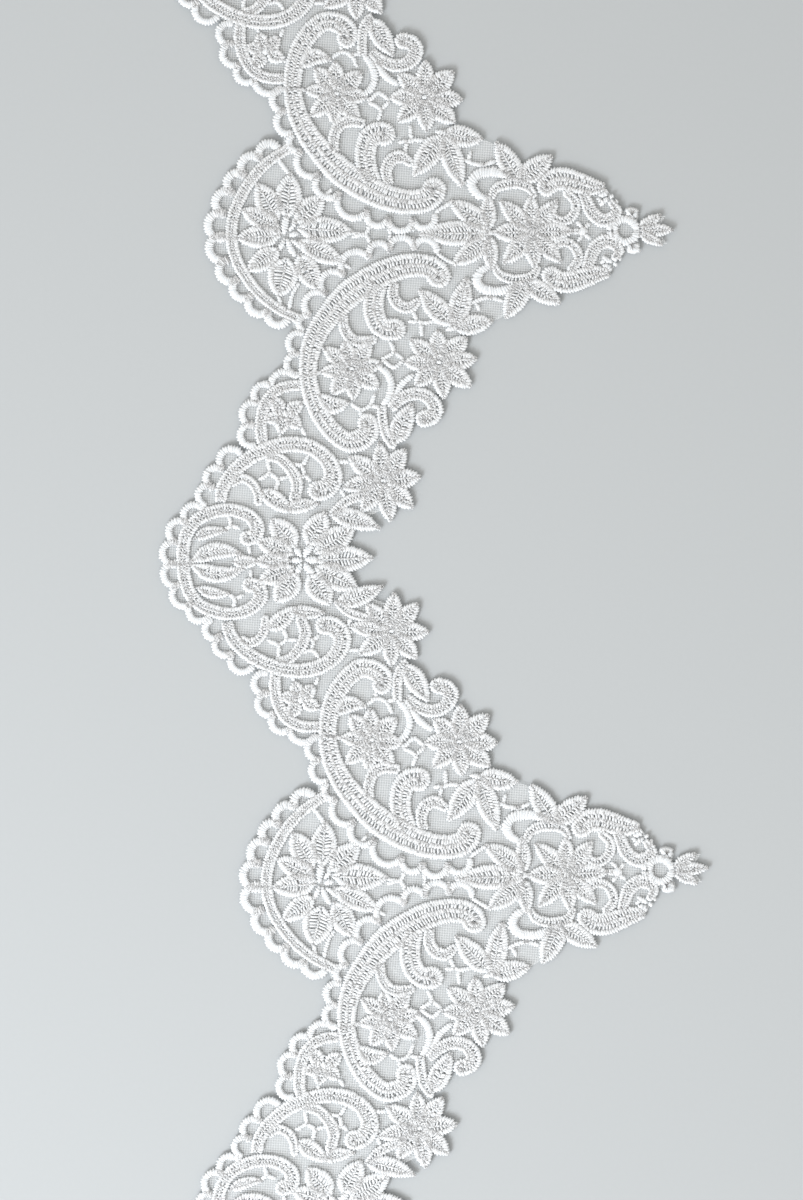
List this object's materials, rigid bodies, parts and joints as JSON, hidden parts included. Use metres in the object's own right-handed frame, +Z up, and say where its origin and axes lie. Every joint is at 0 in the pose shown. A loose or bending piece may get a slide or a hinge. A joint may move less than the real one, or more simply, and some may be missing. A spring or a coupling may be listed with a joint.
{
  "type": "lace trim",
  "caption": "A cut length of white embroidered bridal lace trim lying flat, with deep flowered points along one edge and picots along the other.",
  "frame": {"origin": "the middle of the bounding box, on the flat underside", "axes": "+X across the trim towards the points, +Y along the trim towards its upper cut end, +Z up"},
  "size_m": [0.1374, 0.325, 0.0023],
  "materials": {
    "embroidery": "white satin stitch",
    "net": "fine white net"
  },
  "bodies": {
    "root": {"bud_1": "embroidery", "bud_2": "embroidery", "bud_3": "embroidery", "bud_4": "embroidery", "fan_1": "embroidery", "fan_2": "embroidery", "first_flower_1": "embroidery", "first_flower_2": "embroidery", "first_flower_3": "embroidery", "first_flower_4": "embroidery", "medallion_flower_1": "embroidery", "medallion_flower_2": "embroidery", "medallion_ring_1": "embroidery", "medallion_ring_2": "embroidery", "net_ground": "net", "outer_scroll_1": "embroidery", "outer_scroll_2": "embroidery", "outer_scroll_3": "embroidery", "outer_scroll_4": "embroidery", "outer_scroll_5": "embroidery", "picot_arch_1": "embroidery", "picot_arch_2": "embroidery", "picot_arch_3": "embroidery", "picot_arch_4": "embroidery", "point_flower_1": "embroidery", "point_flower_2": "embroidery", "point_side_1": "embroidery", "point_side_2": "embroidery", "point_side_3": "embroidery", "point_side_4": "embroidery", "point_tip_1": "embroidery", "point_tip_2": "embroidery", "scroll_1": "embroidery", "scroll_2": "embroidery", "scroll_3": "embroidery", "scroll_4": "embroidery", "second_flower_1": "embroidery", "second_flower_2": "embroidery", "second_flower_3": "embroidery", "second_flower_4": "embroidery", "sprig_1": "embroidery", "sprig_2": "embroidery", "sprig_3": "embroidery", "sprig_4": "embroidery", "third_flower_1": "embroidery", "third_flower_2": "embroidery", "third_flower_3": "embroidery", "third_flower_4": "embroidery", "third_flower_5": "embroidery", "valley_flower_1": "embroidery", "valley_flower_2": "embroidery"}
  },
  "joints": []
}
